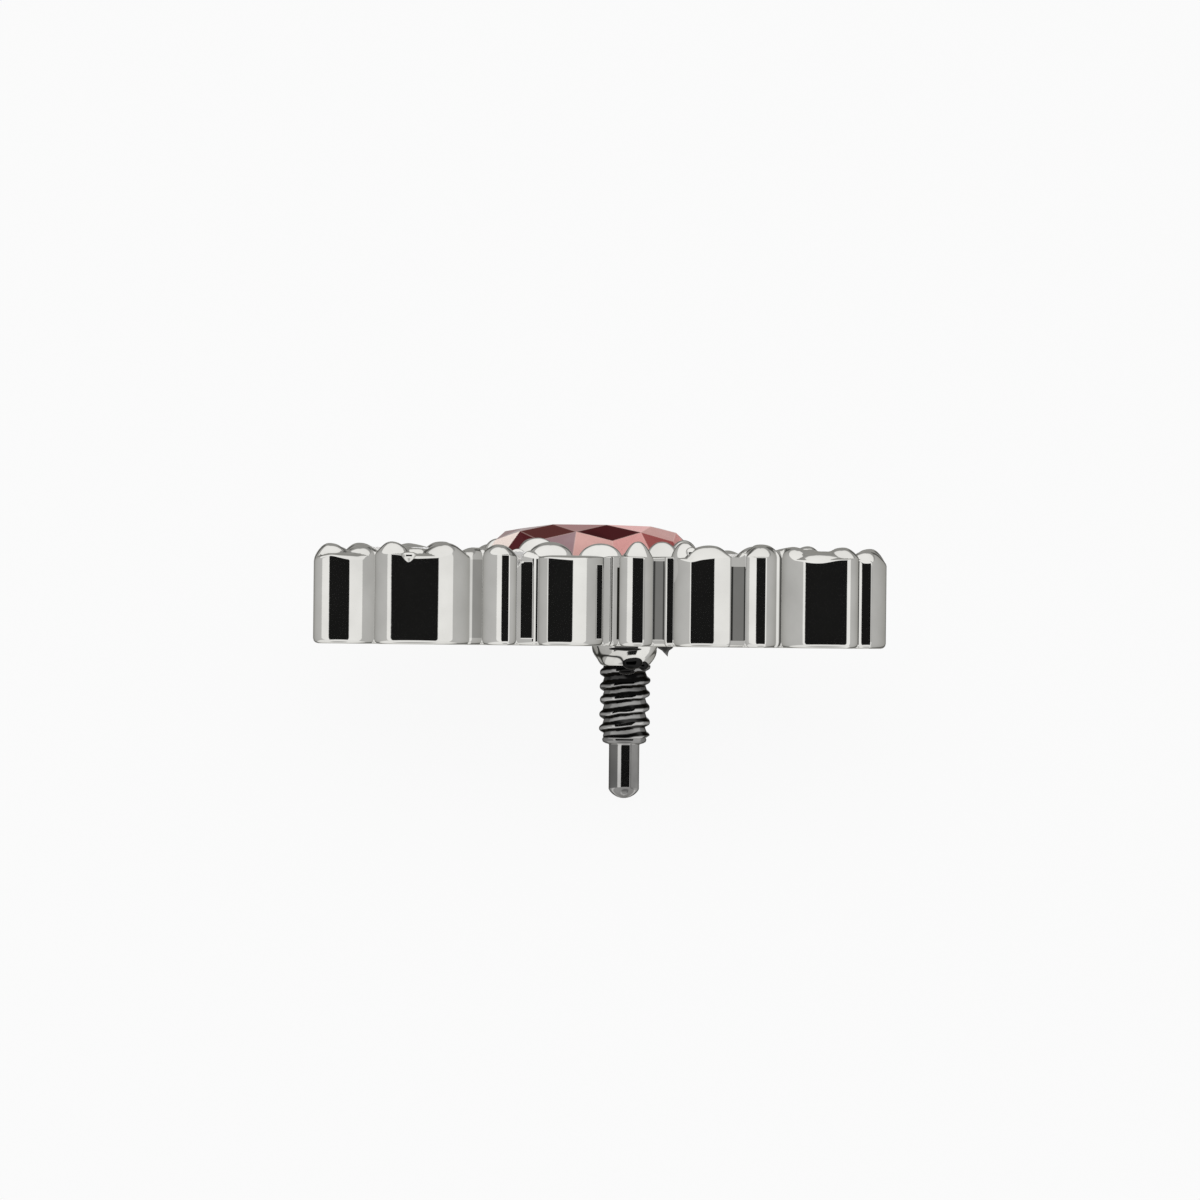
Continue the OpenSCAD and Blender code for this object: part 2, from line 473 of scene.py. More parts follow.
# Millimetres to a pixel of the photograph, the middle column of the wall, and the row and slope of its foot
PIXEL = 0.018
MIDDLE_COLUMN = 600.2
FOOT_ROW = 645.9
FOOT_SLOPE = 0.0105


def along(column: float) -> float:
    """Place across the view, in millimetres, of a column of the photograph."""
    return (column - MIDDLE_COLUMN) * PIXEL


def raised(column: float, row: float) -> float:
    """Height above the wall's foot, in millimetres, of a spot in the photograph."""
    return (FOOT_ROW + (column - MIDDLE_COLUMN) * FOOT_SLOPE - row) * PIXEL


@dataclass(frozen=True)
class Lobe:
    """A column, petal or cup of the wall: how far it stands forward, and its arcs from left to right.

    Each arc has its first and last column in the photograph, and the way the wall faces at both in degrees.
    """

    name: str
    depth: float
    arcs: tuple

    def points(self) -> np.ndarray:
        """Lays out the lobe's front.

        Returns:
            Rows of place across the view and depth, in millimetres.
        """
        rows, depth = [], 0.0
        for start, end, facing_start, facing_end in self.arcs:
            facing = np.radians(np.linspace(facing_start, facing_end, 60))
            aside, ahead = np.sin(facing), np.cos(facing)
            radius = (end - start) * PIXEL / (aside[-1] - aside[0])
            across = along(start) + radius * (aside - aside[0])
            rows.append(np.stack([across, depth + radius * (ahead - ahead[0])], 1))
            depth = rows[-1][-1, 1]
        front = np.vstack(rows)
        front[:, 1] += self.depth - front[:, 1].max()
        return front


FRONT = (
    Lobe("left end column", 2.42, ((314.2, 315, -89, -84), (315, 322.5, -75, -33), (322.5, 330, -31, -25),
         (330, 350.2, -24, 24), (350.2, 363, 25, 48), (363, 380, 50, 78))),
    Lobe("left petal", 3.27, ((375.5, 388, -74, -33), (388, 391.8, -31, -25), (391.8, 439.2, -24, 24),
         (439.2, 453.5, 25, 48), (453.5, 470, 50, 72), (470, 473, 40, 46), (473, 483, 60, 70))),
    Lobe("left side column", 3.39, ((483, 497, -74, -33), (497, 502.3, -31, -25), (502.3, 509.5, -24, 18),
         (509.5, 513, 50, 58), (513, 517, 60, 80))),
    Lobe("left front rib", 3.02, ((516.5, 533, -52, -34), (533, 536.5, 28, 34), (536.5, 538.8, 0, 4))),
    Lobe("left front cup", 3.43, ((538.6, 547.8, -72, -34), (547.8, 573, -23, 24), (573, 586.5, 25, 48),
         (586.5, 603.8, 50, 80))),
    Lobe("slim rib, left half", 3.06, ((603.5, 610.6, -52, -34), (610.6, 612.5, 76, 81))),
    Lobe("slim rib, right half", 2.98, ((612.3, 619.6, 52, 70),)),
    Lobe("middle column", 3.06, ((619.2, 626.5, -72, -33), (626.5, 632.3, -31, -25), (632.3, 643.5, -24, 24),
         (643.5, 652.6, 52, 74))),
    Lobe("dark valley", 2.62, ((652.2, 664.6, -42, -38),)),
    Lobe("right front rib", 2.80, ((664.6, 667, -31, -25), (667, 673.4, -20, 20))),
    Lobe("right front cup", 2.84, ((673, 690, -74, -33), (690, 713.8, -22, 24), (713.8, 730, 25, 48))),
    Lobe("right recess", 2.32, ((730, 745.4, 50, 54),)),
    Lobe("right side column", 2.36, ((745.4, 748, -60, -36), (748, 756, -31, -25), (756, 765.4, -22, 23),
         (765.4, 775.7, 52, 73), (775.7, 778.7, 26, 44), (778.7, 781, 76, 81))),
    Lobe("right petal", 1.62, ((780.8, 802.6, -76, -33), (802.6, 804.4, -30, -25), (804.4, 847, -24, 24),
         (847, 849.6, 26, 44), (849.6, 858, 52, 78))),
    Lobe("right end column", 0.05, ((850, 857.6, -76, -34), (857.6, 862, -31, -25), (862, 871, -22, 12),
         (871, 886, 52, 75), (886, 886.8, 84, 89))),
)

# Where the upright wall starts to round over, as columns and rows of the photograph
SHOULDER = ((315, 561), (331, 555), (349, 560), (362, 561), (366, 557), (376, 555), (392, 554),
            (402, 555), (416, 559), (438, 558), (453, 557), (470, 558), (497, 555), (509, 555),
            (519, 558), (535, 559), (548, 558), (572, 560.5), (587, 559), (597, 558), (620, 557),
            (633, 557.5), (643, 558), (653, 559), (665, 558), (673, 558), (690, 563), (700, 560),
            (713, 559), (730, 558), (746, 557), (756, 557.5), (765, 557.5), (780, 558), (803, 562),
            (812, 563.5), (822, 563.5), (838, 560), (847, 560), (857, 558), (862, 564), (871, 563),
            (885, 566))

# Front of the plate between the lobes, from left to right, as x and y
PLATE = ((-4.7, 0.1), (-4.3, -0.3), (-3.7, -0.6), (-2.6, -0.8), (-2.0, -2.3), (1.9, -2.3), (2.4, -0.8),
         (4.0, -0.4), (4.5, 0.0), (4.8, 0.3))


@dataclass(frozen=True)
class Panel:
    """A panel of the wall with painted shade: its columns, upper row and painted shade, and where it is sunk
    its floor.
    """

    name: str
    start: float
    end: float
    top: float
    painted_shade: float
    edge_painted_shade: float = 0.0
    depth: float = math.inf
    facing: float = 0.0
    left_edge: float = 2.2
    right_edge: float = 1.6

    def within(self, across: np.ndarray) -> np.ndarray:
        """Says which places across the view lie on the panel."""
        return (across > along(self.start)) & (across < along(self.end))

    def painted_shades(self, across: np.ndarray) -> np.ndarray:
        """Painted shade at each place, which can be darker along the panel's two edges."""
        rim = (across < along(self.start + self.left_edge)) | (across > along(self.end - self.right_edge))
        return np.where(rim, max(self.edge_painted_shade, self.painted_shade), self.painted_shade)

    def floor(self, across: np.ndarray) -> np.ndarray:
        """Depth of the panel's floor."""
        return self.depth - math.tan(math.radians(self.facing)) * (across - along(self.start))


# Panels of painted shade and painted dark reflections: grey and black bands on the wall, a painted dark strip
# beside the slim rib, and darker sunk recesses.
PANELS = (
    Panel("light edge of the left petal", 470.2, 473, 559.5, 0.16),
    Panel("grey side of the left petal", 473, 482.6, 559.5, 0.34),
    Panel("left recess", 520, 533.3, 561.5, 0.0, 0.0, 2.84, 2),
    Panel("slot left of the slim rib", 596.3, 603.5, 564.5, 0.0, 0.0, 2.66, 0),
    # A painted dark strip standing in for the shade of a slot; the wall here is not sunk.
    Panel("painted dark strip right of the slim rib", 616.7, 619.3, 567.5, 0.985),
    Panel("edge of the middle column", 642.3, 644.6, 559.5, 0.45),
    Panel("dark valley", 652.6, 664.4, 561, 0.60, 0.9, 2.40, -42),
    Panel("edge of the right front rib", 672.0, 673.8, 559.5, 0.6),
    Panel("right recess", 730.4, 745.0, 566.5, 0.62, 0.95, 2.24, 50),
    Panel("edge of the right end column", 870, 871.8, 565, 0.35),
)


@dataclass(frozen=True)
class Hump:
    """A rounded hump of the rim: its column, depth, reach and the row of its top."""

    name: str
    column: float
    depth: float
    reach: float
    row: float


HUMPS = (
    Hump("left end, first", 330, 1.90, 0.27, 543),
    Hump("left end, second", 364, 1.70, 0.30, 545),
    Hump("left petal, left", 392, 2.85, 0.26, 541.5),
    Hump("left petal, inner", 416, 2.45, 0.34, 541.5),
    Hump("left petal, right", 447, 2.75, 0.36, 543),
    Hump("left side column", 497, 2.95, 0.34, 544.5),
    Hump("behind the left side column", 482, 2.05, 0.36, 546),
    Hump("over the left recess", 521, 2.80, 0.28, 548.5),
    Hump("middle column", 638, 2.72, 0.22, 541.5),
    Hump("right front cup", 708, 2.42, 0.36, 545.5),
    Hump("right side column", 760, 1.85, 0.38, 544.5),
    Hump("right petal, left", 789, 0.95, 0.36, 546.5),
    Hump("right petal, middle", 812, 1.00, 0.26, 549),
    Hump("right petal, ridge", 824, 0.95, 0.50, 550.5),
    Hump("right petal, right", 842, 1.10, 0.30, 547.5),
    Hump("right end", 869, -0.35, 0.28, 550.5),
)


def smoothed(rows: np.ndarray, spread: float) -> np.ndarray:
    """Softens closed rows of numbers.

    Args:
        rows: One row for each place of a closed line.
        spread: Width of the softening, in places.

    Returns:
        The softened rows.
    """
    reach = max(1, int(spread * 3))
    offsets = np.arange(-reach, reach + 1)
    weights = np.exp(-0.5 * (offsets / spread) ** 2)
    return sum(w * np.roll(rows, -o, 0) for o, w in zip(offsets, weights / weights.sum()))


def evened(rows: np.ndarray, count: int | None = None, step: float = 1.0) -> np.ndarray:
    """Spaces the places of a closed line evenly.

    Args:
        rows: One row for each place, with its x and y first. The last row repeats the first.
        count: Number of places. It comes from the step where it isn't given.
        step: Spacing of the places.

    Returns:
        The new rows, without a repeated one.
    """
    run = np.concatenate([[0], np.cumsum(np.hypot(*np.diff(rows[:, :2], axis=0).T))])
    count = count or int(run[-1] / step)
    spots = np.arange(count) * run[-1] / count
    return np.stack([np.interp(spots, run, column) for column in rows.T], 1)


def inside(ring: np.ndarray, points: np.ndarray) -> np.ndarray:
    """Says which points lie inside a closed line.

    Args:
        ring: Corners of the line.
        points: Rows of x and y.

    Returns:
        True or False for each point.
    """
    within = np.zeros(len(points), bool)
    x, y = points.T
    for (ax, ay), (bx, by) in zip(ring, np.roll(ring, -1, 0)):
        crossing = (ay > y) != (by > y)
        if ay != by:
            within ^= crossing & (x < ax + (y - ay) * (bx - ax) / (by - ay))
    return within


@dataclass
class Wall:
    """The scalloped wall with its rim, deck, seats and underside."""

    view: ViewPoint
    seats: tuple
    bevel: float = 0.095
    insets: tuple = (0.012, 0.03, 0.055)
    top_inset: float = 0.09
    row_share: float = 0.93
    sample: float = 0.004
    step: float = 0.013
    soften: float = 0.009
    shoulder_soften: float = 0.05
    panel_low: float = 0.125
    panel_high: float = 1.38
    lip: float = 0.002
    lip_end: float = 0.01
    drop: float = 0.012
    rim: float = 1.62
    deck: float = 1.48
    deck_inset: float = 0.42
    deck_blend: float = 0.35
    rounding: float = 0.26
    hump_spread: float = 1.25
    hump_power: float = 0.8
    seat_gap: float = 0.02
    seat_drop: float = 0.05
    seat_rows: tuple = (0.014, 0.024)
    seat_spacing: float = 0.03
    seat_band: tuple = (-0.02, 0.04)
    grid: float = 0.042
    low_grid: float = 0.25

    def front(self) -> tuple[np.ndarray, np.ndarray]:
        """Works out the front of the wall as the camera sees it.

        Returns:
            Place across the view and depth, from left to right.
        """
        fronts = [piece.points() for piece in FRONT]
        left, right = min(front[0, 0] for front in fronts), max(front[-1, 0] for front in fronts)
        across = np.arange(left, right, self.sample)
        plate = np.array(PLATE)
        depth = np.interp(across, plate @ self.view.across[:2], plate @ self.view.towards[:2])
        for front in fronts:
            depth = np.maximum(depth, np.interp(across, *front.T, left=-99, right=-99))
        return across, depth

    def outline(self) -> dict[str, np.ndarray]:
        """Builds the closed outline, evenly spaced and slightly softened.

        Returns:
            Arrays by name: place, way outwards, shoulder, and recess depth, top, side and painted shade.
        """
        across, depth = self.front()
        shoulder = np.array([(along(column), raised(column, row)) for column, row in SHOULDER])
        edge = np.interp(across, *shoulder.T)
        recess, painted_shade = np.zeros((2, len(across)))
        top = np.full(len(across), self.panel_high)
        for panel in PANELS:
            within = panel.within(across)
            recess[within] = np.maximum(0.0, depth - panel.floor(across))[within]
            painted_shade[within] = panel.painted_shades(across)[within]
            top[within] = raised(panel.start, panel.top)
        half = np.stack([across, depth, edge, recess, top, np.ones(len(across)), painted_shade], 1)
        back = half * [-1, -1, 1, 1, 1, -1, 1]
        even = evened(np.vstack([half, back, half[:1]]), step=self.step)
        soft = smoothed(even, self.soften / self.step)
        flat = soft[:, :1] * self.view.across[:2] + soft[:, 1:2] * self.view.towards[:2]
        tangent = np.roll(flat, -1, 0) - np.roll(flat, 1, 0)
        outward = np.stack([tangent[:, 1], -tangent[:, 0]], 1)
        outward /= np.linalg.norm(outward, axis=1)[:, None]
        shoulder = smoothed(even[:, 2:3], self.shoulder_soften / self.step)[:, 0]
        return {"place": flat, "outward": outward, "shoulder": shoulder, "recess": even[:, 3],
                "top": even[:, 4], "side": np.sign(even[:, 5]), "painted_shade": even[:, 6]}

    def top_height(self, points: np.ndarray, inset: np.ndarray, edge: np.ndarray) -> np.ndarray:
        """Height of the upper surface.

        Args:
            points: Rows of x and y.
            inset: Distance of each point from the outline.
            edge: Shoulder height at the nearest place of the outline.

        Returns:
            Heights in millimetres.
        """
        lift = np.zeros(len(points))
        for hump in HUMPS:
            spot = self.view.spot(along(hump.column), hump.depth)[:2]
            rise = raised(hump.column, hump.row) - self.rim
            for side in (1, -1):
                gap = np.hypot(*(points - side * spot).T) / (hump.reach * self.hump_spread)
                lift = np.maximum(lift, rise * np.clip(1 - gap ** 2, 0, 1) ** self.hump_power)
        curve = np.sqrt(1 - (1 - np.clip(inset / self.rounding, 0, 1)) ** 2)
        height = edge * (1 - curve) + (self.rim + lift) * curve
        inner = np.clip((inset - self.deck_inset) / self.deck_blend, 0, 1)
        inner = inner * inner * (3 - 2 * inner)
        height = height * (1 - inner) + (self.deck + lift) * inner
        for seat in self.seats:
            gap = np.hypot(*(points - seat.place).T)
            slope = (seat.cut.girdle_foot - seat.cut.culet) / seat.radius
            bowl = seat.cut.culet - self.seat_drop + slope * gap
            height = np.where(gap < seat.radius + self.seat_gap, np.minimum(height, bowl), height)
        return height

    def cap(self, ring: dict[str, np.ndarray], rows: tuple, grid: float, seats: tuple) -> tuple:
        """Fills the outline with points and triangles.

        Args:
            ring: The outline.
            rows: Distances inside the outline at which a row of points runs.
            grid: Spacing of the points further in.
            seats: Stones round whose seats two rows of points run.

        Returns:
            Points, triangles, distance from the outline and nearest outline point, outline first.
        """
        place = ring["place"]
        tree = KDTree(len(place))
        for index, (x, y) in enumerate(place):
            tree.insert((x, y, 0), index)
        tree.balance()

        def clear(points: np.ndarray, gap: float) -> list[tuple]:
            """The points that lie further than a gap from the outline."""
            return [tuple(point) for point in points if tree.find((*point, 0))[2] > gap]

        loose = []
        for row in rows:
            loose += clear(place - ring["outward"] * row, row * self.row_share)
        for seat in seats:
            for row in self.seat_rows:
                radius = seat.radius + row
                count = int(2 * math.pi * radius / self.seat_spacing)
                turns = np.linspace(0, 2 * math.pi, count, endpoint=False)
                rim = seat.place + radius * np.stack([np.cos(turns), np.sin(turns)], 1)
                loose += clear(rim[inside(place, rim)], self.seat_gap)
        low, high = place.min(0), place.max(0)
        xs, ys = np.meshgrid(np.arange(low[0], high[0], grid), np.arange(low[1], high[1], grid))
        spots = np.stack([xs.ravel(), ys.ravel()], 1)
        spots = spots[inside(place, spots)]
        for seat in seats:
            gap = np.hypot(*(spots - seat.place).T)
            coarse = (np.round(spots / grid) % 4 == 0).all(1)
            low, high = seat.radius + np.array(self.seat_band)
            spots = spots[(gap > high) | ((gap < low) & coarse)]
        loose += clear(spots, rows[-1] + grid / 2)
        points = [Vector(point) for point in [*map(tuple, place), *loose]]
        edges = [(k, (k + 1) % len(place)) for k in range(len(place))]
        found, _, faces, origins, _, _ = delaunay_2d_cdt(points, edges, [], 1, 1e-6)
        first = [min(origin, default=len(points) + k) for k, origin in enumerate(origins)]
        order = sorted(range(len(found)), key=first.__getitem__)
        rank = {old: new for new, old in enumerate(order)}
        corners = np.array([tuple(found[k]) for k in order])
        _, near, inset = zip(*(tree.find((x, y, 0)) for x, y in corners))
        faces = [tuple(rank[c] for c in face) for face in faces]
        return corners, faces, np.array(inset), np.array(near)

    def build(self) -> Shell:
        """Builds the wall, its top and its underside.

        Returns:
            One closed shell.
        """
        ring = self.outline()
        place, count = ring["place"], len(ring["place"])
        top_rows, low_rows = (*self.insets, self.top_inset), (*self.insets, self.bevel)
        top_points, top_faces, inset, near = self.cap(ring, top_rows, self.grid, self.seats)
        low_points, low_faces, low_inset, _ = self.cap(ring, low_rows, self.low_grid, ())
        if len(top_points) < count or not np.allclose(top_points[:count], place, atol=1e-5):
            raise RuntimeError("the outline changed while the top was filled")
        bend = np.clip(self.bevel - low_inset, 0, self.bevel)
        low_heights = self.bevel - np.sqrt(self.bevel ** 2 - bend ** 2)
        top_heights = self.top_height(top_points, inset, ring["shoulder"][near])
        inward = -self.view.towards[:2] * (ring["side"] * ring["recess"])[:, None]
        floor, high, lip, off = self.panel_low, ring["top"], self.lip, self.lip_end
        levels = ((floor - off, 0), (floor - lip, 0), (floor + lip, 1), (floor + off, 1), (high - off, 1),
                  (high - lip, 1), (high + lip, 0), (high + off, 0), (ring["shoulder"] - self.drop, 0))
        rows = [np.column_stack([place + inward * deep, np.broadcast_to(z, count)]) for z, deep in levels]
        low, top = np.column_stack([low_points, low_heights]), np.column_stack([top_points, top_heights])
        corners = [low, *rows, top]
        # Painted shade and painted dark reflections on the panels' rows; none on the underside or the top.
        painted_shades = [np.zeros(len(low)), *(ring["painted_shade"] * deep for _, deep in levels), np.zeros(len(top))]
        starts = [0, *np.cumsum([len(part) for part in corners]).tolist()]
        faces = [face[::-1] for face in low_faces]
        for below, above in zip(starts[:-2], starts[1:-1]):
            faces += band(below, above, count)
        faces += [tuple(starts[-2] + c for c in face) for face in top_faces]
        return Shell(np.vstack(corners), faces, np.concatenate(painted_shades))


@dataclass(frozen=True)
class Cut:
    """Heights of a stone's parts above the wall's foot."""

    table: float
    star: float
    kite: float
    girdle: float
    girdle_foot: float
    culet: float


@dataclass
class Brilliant:
    """A round stone with an eight-sided table, stars, kites and a sixteen-sided girdle."""

    name: str
    place: tuple
    diameter: float
    cut: Cut
    finish: Finish
    # Colours of each kind of facet: the stone's own colour with painted light, shade and reflections.
    colours_and_painted_light: dict
    shares: tuple = (0.65, 0.80, 0.90)
    table_drop: tuple = (0.0,)
    hairline: float = 0.007
    edge_share: float = 0.8
    # Pale warm grey added along facet edges as a painted highlight.
    painted_edge_highlight: tuple = (0.13, 0.10, 0.09, 0.2)

    @property
    def radius(self) -> float:
        """Radius of the girdle."""
        return self.diameter / 2

    def corners(self) -> list[tuple]:
        """Lays out the corners of the table, stars, kites and girdle, and the culet.

        Returns:
            Places in millimetres.
        """
        cut, eighth = self.cut, math.pi / 4
        rings = zip((*self.shares, 1.0, 1.0), (cut.table, cut.star, cut.kite, cut.girdle, cut.girdle_foot),
                    (0.0, eighth / 2, 0.0, 0.0, 0.0), (8, 8, 8, 16, 16))
        corners = []
        for share, height, turn, sides in rings:
            for k in range(sides):
                angle = 2 * math.pi * k / sides + turn - math.pi / 2
                drop = self.table_drop[k % len(self.table_drop)] if height == cut.table else 0.0
                corners.append((self.place[0] + self.radius * share * math.cos(angle),
                                self.place[1] + self.radius * share * math.sin(angle), height - drop))
        return [*corners, (*self.place, cut.culet)]

    def facets(self) -> tuple[list, list]:
        """Lists the facets.

        Returns:
            Faces, and the colour of each face with its painted light.
        """
        table, star, kite, upper, lower, culet = 0, 8, 16, 24, 40, 56
        faces, colours_and_painted_light = [tuple(range(8))], [self.colours_and_painted_light["table"]]

        def facet(kind: str, number: int, *face: int) -> None:
            """Adds a facet with the colour and painted light of its kind and number."""
            faces.append(face)
            colours_and_painted_light.append(self.colours_and_painted_light[kind][number % len(self.colours_and_painted_light[kind])])

        for k in range(8):
            on, before = (k + 1) % 8, (k - 1) % 8
            facet("star", k, table + k, star + k, table + on)
            facet("kite", k, table + k, star + before, kite + k, star + k)
            facet("break_right", k, star + k, kite + k, upper + 2 * k, upper + 2 * k + 1)
            facet("break_left", k, star + k, upper + 2 * k + 1, upper + (2 * k + 2) % 16, kite + on)
        for k in range(16):
            on = (k + 1) % 16
            facet("girdle", k, upper + k, lower + k, lower + on, upper + on)
            facet("pavilion", k, lower + k, culet, lower + on)
        return faces, colours_and_painted_light

    def build(self, pose: RestPose) -> None:
        """Builds the stone with hairline edges between its facets, whose colour is pulled towards a pale warm
        grey as a painted highlight.

        Args:
            pose: How the top lies.
        """
        corners, edged, colours = self.corners(), [], []
        for face, tint in zip(*self.facets()):
            outer = np.array([corners[c] for c in face])
            middle = outer.mean(0)
            reach = np.linalg.norm(outer - middle, axis=1).min()
            first, colour = len(corners), np.array(shade(tint))
            corners += list(outer + (middle - outer) * min(0.3, self.hairline / reach * 2))
            edged.append(tuple(range(first, first + len(face))))
            colours.append(tuple(colour))
            for k in range(len(face)):
                on = (k + 1) % len(face)
                edged.append((face[k], face[on], first + on, first + k))
                # Painted highlight along each facet's edge.
                colours.append(tuple(colour * self.edge_share + self.painted_edge_highlight))
        shell = Shell(np.array(corners), edged)
        dress(self.name + "_cut", shell, self.finish, self.name, pose, False, colours)


# Facet colours: the stone's own colour with each facet's light, shade and reflections painted in, so facets
# run from near-black to pale.
RED_COLOURS_AND_PAINTED_LIGHT = {
    "table": "8E3038",
    "star": ("CFA3A0", "B98F8E", "A4484C", "8C3A40", "A4484C", "7C3238", "8F7674", "90706F"),
    "kite": ("320508", "B48E89", "5A2228", "8E3A40", "4E1D24", "7A2C32", "7A605E", "482623"),
    "break_right": ("CB9490", "C08A86", "7A2A30", "A9585A", "6E262C", "8E3A40", "E6D8D0", "90787C"),
    "break_left": ("8D4B49", "6A2226", "A4484C", "58191F", "8E3A40", "702A2E", "43191C", "C79C96"),
    "girdle": ("8A5052", "7A4448"),
    "pavilion": ("6A1E26", "7E2A31", "5A181F", "8A323A"),
}
# The clear stones' facets: pale greys and whites that are painted light and reflections only.
CLEAR_COLOURS_AND_PAINTED_LIGHT = {
    "table": "F0F0F0",
    "star": ("F4F4F4", "DADAD8", "EFEDE8", "E2E2E0"),
    "kite": ("DCDCDA", "F2F1EE", "E6E6E4", "F6F4F0"),
    "break_right": ("F4F3F0", "D6D6D4", "EEECE8", "E4E4E2"),
    "break_left": ("E2E2E0", "F6F5F2", "D8D8D6", "F0EEE8"),
    "girdle": ("D8D8D8",),
    "pavilion": ("E8E8E8", "D4D4D4", "F2F0EE", "C8C8C8"),
}


def grown(seed: bpy.types.Mesh, tree: bpy.types.NodeTree, sizes: dict) -> Shell:
    """Runs a Geometry Nodes tree on a mesh and reads the result back as a shell.

    Args:
        seed: Mesh that the tree starts from.
        tree: The tree.
        sizes: Values by input name.

    Returns:
        The result with its painted shade, in the seed's frame.
    """
    holder = linked(tree.name, seed)
    modifier = holder.modifiers.new(tree.name, "NODES")
    modifier.node_group = tree
    for item in tree.interface.items_tree:
        if item.in_out == "INPUT" and item.name in sizes:
            modifier[item.identifier] = sizes[item.name]
    graph = bpy.context.evaluated_depsgraph_get()
    mesh = bpy.data.meshes.new_from_object(holder.evaluated_get(graph))
    faces = [tuple(face.vertices) for face in mesh.polygons]
    shell = Shell(np.array([vertex.co for vertex in mesh.vertices]), faces)
    if "painted_shade" in mesh.attributes:
        shell.painted_shade = np.array([corner.value for corner in mesh.attributes["painted_shade"].data])
    bpy.data.objects.remove(holder)
    bpy.data.meshes.remove(mesh)
    return shell


@dataclass
class Beads:
    """Round beads, prongs or lumps, made as slightly uneven copies of one ball."""

    name: str
    finish: Finish
    rows: list
    unevenness: float = 0.012
    # Painted shade given to every bead: none on the polished beads, near-black on the solder lumps.
    painted_shade: float = 0.0

    def tree(self) -> bpy.types.NodeTree:
        """Builds the Geometry Nodes tree that puts an uneven ball on each point.

        Returns:
            The tree.
        """
        graph = Graph(bpy.data.node_groups.new(self.name + "_on_points", "GeometryNodeTree"))
        given = graph.group_inputs({"Segments": 40, "Rings": 24, "Unevenness": 0.012, "Seed": 3.0})
        ball = graph.add("GeometryNodeMeshUVSphere", {"Segments": given["Segments"], "Rings": given["Rings"]})
        size = graph.add("GeometryNodeInputNamedAttribute", {"Name": "size"}, data_type="FLOAT_VECTOR")
        spread = graph.add("GeometryNodeInstanceOnPoints", {
            "Points": given["Mesh"], "Instance": ball, "Scale": size})
        real = graph.add("GeometryNodeRealizeInstances", {0: spread})
        noise = graph.noise(2.2, 1.0, W=given["Seed"]).outputs["Color"]
        centred = graph.vectors("SUBTRACT", {0: noise, 1: (0.5, 0.5, 0.5)})
        offset = graph.vectors("SCALE", {0: centred, "Scale": given["Unevenness"]})
        moved = graph.add("GeometryNodeSetPosition", {0: real, "Offset": offset})
        return graph.group_result(moved, self.finish.material)

    def build(self, pose: RestPose) -> None:
        """Builds all beads as one piece.

        Args:
            pose: How the top lies.
        """
        seed = bpy.data.meshes.new(self.name + "_points")
        seed.from_pydata([row[:3] for row in self.rows], [], [])
        layer = seed.attributes.new("size", "FLOAT_VECTOR", "POINT")
        layer.data.foreach_set("vector", [float(part) for row in self.rows for part in row[3:]])
        shell = grown(seed, self.tree(), {"Unevenness": self.unevenness})
        shell.painted_shade[:] = self.painted_shade
        dress(self.name, shell, self.finish, "setting", pose)


@dataclass(frozen=True)
class Bead:
    """A bead or lump: its column, depth, half width, half depth, the row of its top, and half height."""

    name: str
    column: float
    depth: float
    half: float
    deep: float
    row: float
    tall: float

    def ball(self, view: ViewPoint, side: int = 1) -> tuple:
        """Middle and three half sizes, in millimetres, of the bead or of its twin at the back (side -1)."""
        x, y, _ = view.spot(along(self.column), self.depth) * side
        return x, y, raised(self.column, self.row) - self.tall, self.half, self.deep, self.tall


FRONT_BEADS = (
    Bead("left cup, behind", 537.5, 2.02, 0.44, 0.22, 537.8, 0.50),
    Bead("left cup, in front", 550, 2.57, 0.42, 0.42, 542, 0.33),
    Bead("prong over the left recess", 517.5, 2.63, 0.24, 0.11, 549, 0.36),
    Bead("slim rib", 600, 2.34, 0.42, 0.27, 543.5, 0.34),
    Bead("right valley", 661.5, 2.10, 0.34, 0.26, 541.8, 0.46),
    Bead("right cup", 684, 2.28, 0.27, 0.34, 542, 0.48),
    Bead("right cup, small", 690.5, 2.50, 0.11, 0.11, 547.5, 0.11),
)

# Lumps at the top of the thread, painted near-black as painted dark reflections, and a dark wedge under the
# plate that stands in for the plate's shade
SOLDER_LUMPS = (
    Bead("painted shade wedge under the plate", 626, 0.95, 0.30, 0.14, 646.6, 0.036),
    Bead("lump on the thread", 633, 0.83, 0.19, 0.13, 655.28, 0.13),
    Bead("lump to the right", 642, 0.70, 0.13, 0.12, 660.5, 0.09),
    Bead("lump below", 628, 0.80, 0.16, 0.08, 668.72, 0.05),
)


@dataclass(frozen=True)
class RedStoneProngs:
    """The four prongs that stand round the red stone."""

    centre: tuple
    ring: float = 1.98
    half: float = 0.27
    middle: float = 1.55
    tall: float = 0.37

    def balls(self) -> list[tuple]:
        """Middle and three half sizes of each prong's head."""
        turns = [math.pi / 4 + quarter * math.pi / 2 for quarter in range(4)]
        return [(self.centre[0] + self.ring * math.cos(turn), self.centre[1] + self.ring * math.sin(turn),
                 self.middle, self.half, self.half, self.tall) for turn in turns]


# The small drip that hangs over the left petal's face, as half width and row
DRIP_COLUMN = 409.5
DRIP_DEPTH = 3.21
DRIP = ((0.0, 552.0), (0.09, 552.4), (0.135, 554.0), (0.14, 555.8), (0.105, 558.6), (0.06, 561.8),
        (0.03, 564.6), (0.0, 566.0))


def rim_drip(view: ViewPoint) -> Shell:
    """Builds the small drip of metal that hangs over the left petal's face."""
    x, y, _ = view.spot(along(DRIP_COLUMN), DRIP_DEPTH)
    return revolved([(size, raised(DRIP_COLUMN, row)) for size, row in DRIP], 24, (x, y))


